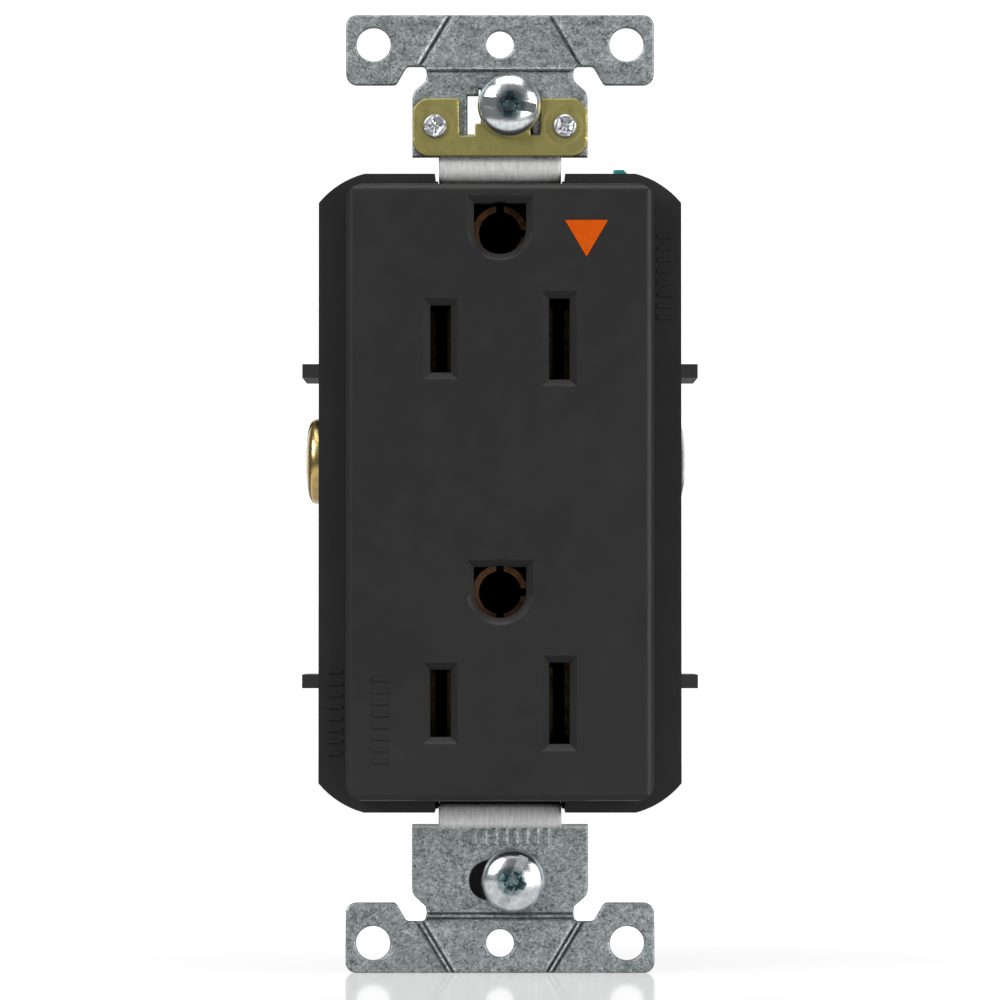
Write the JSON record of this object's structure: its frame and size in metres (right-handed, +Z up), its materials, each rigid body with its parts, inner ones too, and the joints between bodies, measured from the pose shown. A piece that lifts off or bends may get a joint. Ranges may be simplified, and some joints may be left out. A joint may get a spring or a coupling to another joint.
{
  "type": "duplex receptacle",
  "caption": "Black wall outlet with a flat rectangular face, an orange triangle mark, a steel strap with break-off ears round its back, and screw terminals on its sides.",
  "frame": {"origin": "midway between the two mounting screws, on the back face of the strap's ears, which is the plane that seats on the wall", "axes": "+Z up along the strap, +X to the right seen from the front, -Y out of the face towards the user"},
  "size_m": [0.0432, 0.0335, 0.1032],
  "materials": {
    "black_nylon_face": "fine satin moulded black nylon",
    "black_nylon_body": "satin moulded black nylon",
    "orange_mark": "opaque orange fill",
    "galvanised_steel": "mottled galvanised sheet, satin",
    "clip_brass": "dull olive rolled brass",
    "zinc_rivets": "staked, bright zinc",
    "zinc_screws": "bright zinc plating",
    "contact_brass": "rolled brass strip",
    "contact_copper": "rolled copper alloy",
    "plated_clamps": "zinc-plated steel, satin",
    "brass_screws": "brass-plated, polished",
    "nickel_screws": "nickel-plated, polished",
    "green_screw": "green lacquered steel",
    "black_fibre": "black vulcanised fibre"
  },
  "bodies": {
    "root": {"front_cover": "black_nylon_face", "isolated_ground_mark": "orange_mark", "back_body": "black_nylon_body", "mounting_strap": "galvanised_steel", "self_ground_clip": "clip_brass", "clip_rivets": "zinc_rivets", "assembly_screws": "zinc_screws", "hot_contact": "contact_brass", "neutral_contact": "contact_brass", "ground_contact": "contact_copper"},
    "hot_upper_clamp": {"hot_clamp_upper": "plated_clamps"},
    "hot_upper_screw": {"hot_screw_upper": "brass_screws"},
    "hot_lower_clamp": {"hot_clamp_lower": "plated_clamps"},
    "hot_lower_screw": {"hot_screw_lower": "brass_screws"},
    "neutral_upper_clamp": {"neutral_clamp_upper": "plated_clamps"},
    "neutral_upper_screw": {"neutral_screw_upper": "nickel_screws"},
    "neutral_lower_clamp": {"neutral_clamp_lower": "plated_clamps"},
    "neutral_lower_screw": {"neutral_screw_lower": "nickel_screws"},
    "ground_clamp": {"ground_clamp": "plated_clamps"},
    "ground_screw": {"ground_screw": "green_screw"},
    "retainer_top": {"screw_retainer_top": "black_fibre"},
    "mount_screw_top": {"mounting_screw_top": "zinc_screws"},
    "retainer_bottom": {"screw_retainer_bottom": "black_fibre"},
    "mount_screw_bottom": {"mounting_screw_bottom": "zinc_screws"}
  },
  "joints": [
    {"name": "hot_upper_clamp_slide", "type": "slide", "parent": "root", "child": "hot_upper_clamp", "axis": [-1, 0, 0], "range_m": [-0.00375, 0.0002]},
    {"name": "hot_upper_screw_turn", "type": "hinge", "parent": "hot_upper_clamp", "child": "hot_upper_screw", "pos_m": [0, 0.0146, 0.0039], "axis": [-1, 0, 0], "range_deg": [-1700.9, 90.9]},
    {"name": "hot_lower_clamp_slide", "type": "slide", "parent": "root", "child": "hot_lower_clamp", "axis": [-1, 0, 0], "range_m": [-0.00095, 0.003]},
    {"name": "hot_lower_screw_turn", "type": "hinge", "parent": "hot_lower_clamp", "child": "hot_lower_screw", "pos_m": [0, 0.0146, -0.0107], "axis": [-1, 0, 0], "range_deg": [-431, 1360.8]},
    {"name": "neutral_upper_clamp_slide", "type": "slide", "parent": "root", "child": "neutral_upper_clamp", "axis": [1, 0, 0], "range_m": [-0.00275, 0.0012]},
    {"name": "neutral_upper_screw_turn", "type": "hinge", "parent": "neutral_upper_clamp", "child": "neutral_upper_screw", "pos_m": [0, 0.0146, 0.0039], "axis": [1, 0, 0], "range_deg": [-1247.4, 544.4]},
    {"name": "neutral_lower_clamp_slide", "type": "slide", "parent": "root", "child": "neutral_lower_clamp", "axis": [1, 0, 0], "range_m": [-0.00095, 0.003]},
    {"name": "neutral_lower_screw_turn", "type": "hinge", "parent": "neutral_lower_clamp", "child": "neutral_lower_screw", "pos_m": [0, 0.0146, -0.0107], "axis": [1, 0, 0], "range_deg": [-431, 1360.8]},
    {"name": "ground_clamp_slide", "type": "slide", "parent": "root", "child": "ground_clamp", "axis": [1, 0, 0], "range_m": [-0.00035, 0.0026]},
    {"name": "ground_screw_turn", "type": "hinge", "parent": "ground_clamp", "child": "ground_screw", "pos_m": [0, 0.0146, 0.0322], "axis": [1, 0, 0], "range_deg": [-158.9, 1179.4]},
    {"name": "mount_screw_top_shift", "type": "slide", "parent": "root", "child": "retainer_top", "axis": [1, 0, 0], "range_m": [-0.00145, 0.00065]},
    {"name": "mount_screw_top_turn", "type": "hinge", "parent": "retainer_top", "child": "mount_screw_top", "pos_m": [0.001, 0, 0.04167], "axis": [0, 1, 0], "continuous": true},
    {"name": "mount_screw_bottom_shift", "type": "slide", "parent": "root", "child": "retainer_bottom", "axis": [1, 0, 0], "range_m": [-0.0029, 0.0001]},
    {"name": "mount_screw_bottom_turn", "type": "hinge", "parent": "retainer_bottom", "child": "mount_screw_bottom", "pos_m": [0.0014, 0, -0.04167], "axis": [0, 1, 0], "continuous": true}
  ],
  "couplings": [
    {"joint": "hot_upper_screw_turn", "follows": "hot_upper_clamp_slide", "rad_per_m": 7915.8},
    {"joint": "hot_lower_screw_turn", "follows": "hot_lower_clamp_slide", "rad_per_m": 7915.8},
    {"joint": "neutral_upper_screw_turn", "follows": "neutral_upper_clamp_slide", "rad_per_m": 7915.8},
    {"joint": "neutral_lower_screw_turn", "follows": "neutral_lower_clamp_slide", "rad_per_m": 7915.8},
    {"joint": "ground_screw_turn", "follows": "ground_clamp_slide", "rad_per_m": 7915.8}
  ]
}
